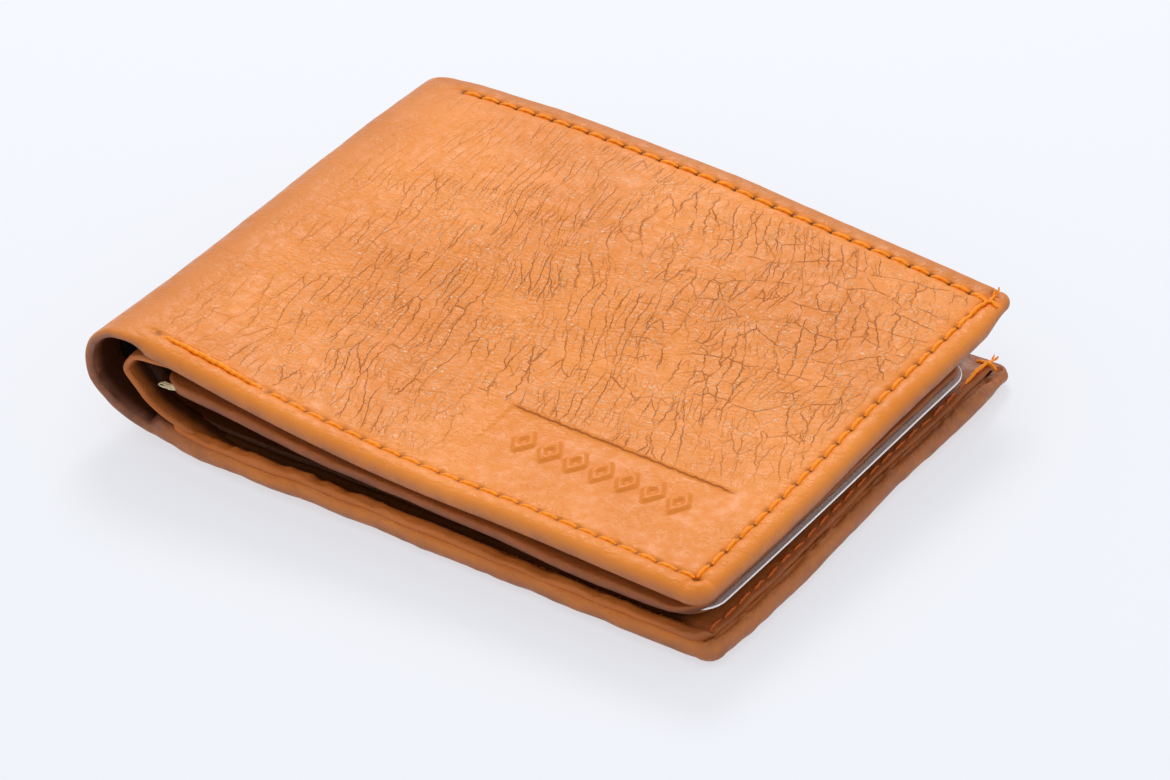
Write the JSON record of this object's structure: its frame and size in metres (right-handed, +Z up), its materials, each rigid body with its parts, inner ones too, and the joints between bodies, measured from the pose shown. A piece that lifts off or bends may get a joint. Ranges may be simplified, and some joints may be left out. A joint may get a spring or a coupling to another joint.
{
  "type": "folding wallet",
  "caption": "Folding leather wallet: two leaves joined by a rolled spine, with a page-like centre flap, card pockets and a full-width bill compartment.",
  "frame": {"origin": "on the surface under the middle of the closed wallet", "axes": "+X from the spine to the free edges, +Y along the fold to the mouth of the bill compartment, +Z up through the closed wallet"},
  "size_m": [0.114, 0.082, 0.0196],
  "materials": {
    "cover_leather": "tan pebbled leather, semi-gloss, creased",
    "inner_leather": "smooth brown-tan leather, satin",
    "thread": "twisted orange polyester thread",
    "lining_cloth": "dark brown woven lining",
    "board": "bonded leather board",
    "clear_film": "clear flexible film"
  },
  "bodies": {
    "back_leaf": {"back_cover": "cover_leather", "back_stiffener_board": "board", "back_bill_lining": "lining_cloth", "back_inner_panel": "inner_leather", "back_card_pocket_1": "inner_leather", "back_card_pocket_2": "inner_leather", "back_card_pocket_3": "inner_leather", "back_edge_stitching": "thread", "back_bill_stitching": "thread", "back_pocket_stitching": "thread"},
    "spine_1": {"spine_shell_1": "cover_leather", "spine_lining_1": "inner_leather"},
    "spine_2": {"spine_shell_2": "cover_leather", "spine_lining_2": "inner_leather", "flap_anchor_tab": "inner_leather"},
    "spine_3": {"spine_shell_3": "cover_leather", "spine_lining_3": "inner_leather"},
    "front_leaf": {"front_cover": "cover_leather", "front_stiffener_board": "board", "front_bill_lining": "lining_cloth", "front_inner_panel": "inner_leather", "front_slip_pocket": "inner_leather", "front_card_pocket_1": "inner_leather", "front_card_pocket_2": "inner_leather", "front_edge_stitching": "thread", "front_bill_stitching": "thread", "front_pocket_stitching": "thread"},
    "centre_flap": {"flap_window_frame": "inner_leather", "flap_stitching": "thread", "flap_clear_window": "clear_film", "flap_core": "board", "flap_front_panel": "inner_leather", "flap_hinge_strip": "inner_leather", "flap_card_pocket_1": "inner_leather", "flap_card_pocket_2": "inner_leather"}
  },
  "joints": [
    {"name": "fold_1", "type": "hinge", "parent": "back_leaf", "child": "spine_1", "pos_m": [-0.045, 0, 0], "axis": [0, -1, 0], "range_deg": [0, 30]},
    {"name": "fold_2", "type": "hinge", "parent": "spine_1", "child": "spine_2", "pos_m": [-0.057, 0, 0.00693], "axis": [0, -1, 0], "range_deg": [0, 60]},
    {"name": "fold_3", "type": "hinge", "parent": "spine_2", "child": "spine_3", "pos_m": [-0.057, 0, 0.01453], "axis": [0, -1, 0], "range_deg": [0, 46]},
    {"name": "fold_4", "type": "hinge", "parent": "spine_3", "child": "front_leaf", "pos_m": [-0.05175, 0, 0.0196], "axis": [0, -1, 0], "range_deg": [0, 45.8]},
    {"name": "flap_turn", "type": "hinge", "parent": "spine_2", "child": "centre_flap", "pos_m": [-0.0487, 0, 0.0114], "axis": [0, -1, 0], "range_deg": [0, 40]}
  ],
  "couplings": [
    {"joint": "fold_2", "follows": "fold_1", "ratio": 2},
    {"joint": "fold_3", "follows": "fold_1", "ratio": 1.5333},
    {"joint": "fold_4", "follows": "fold_1", "ratio": 1.5267},
    {"joint": "flap_turn", "follows": "fold_1", "ratio": 1.3333}
  ]
}
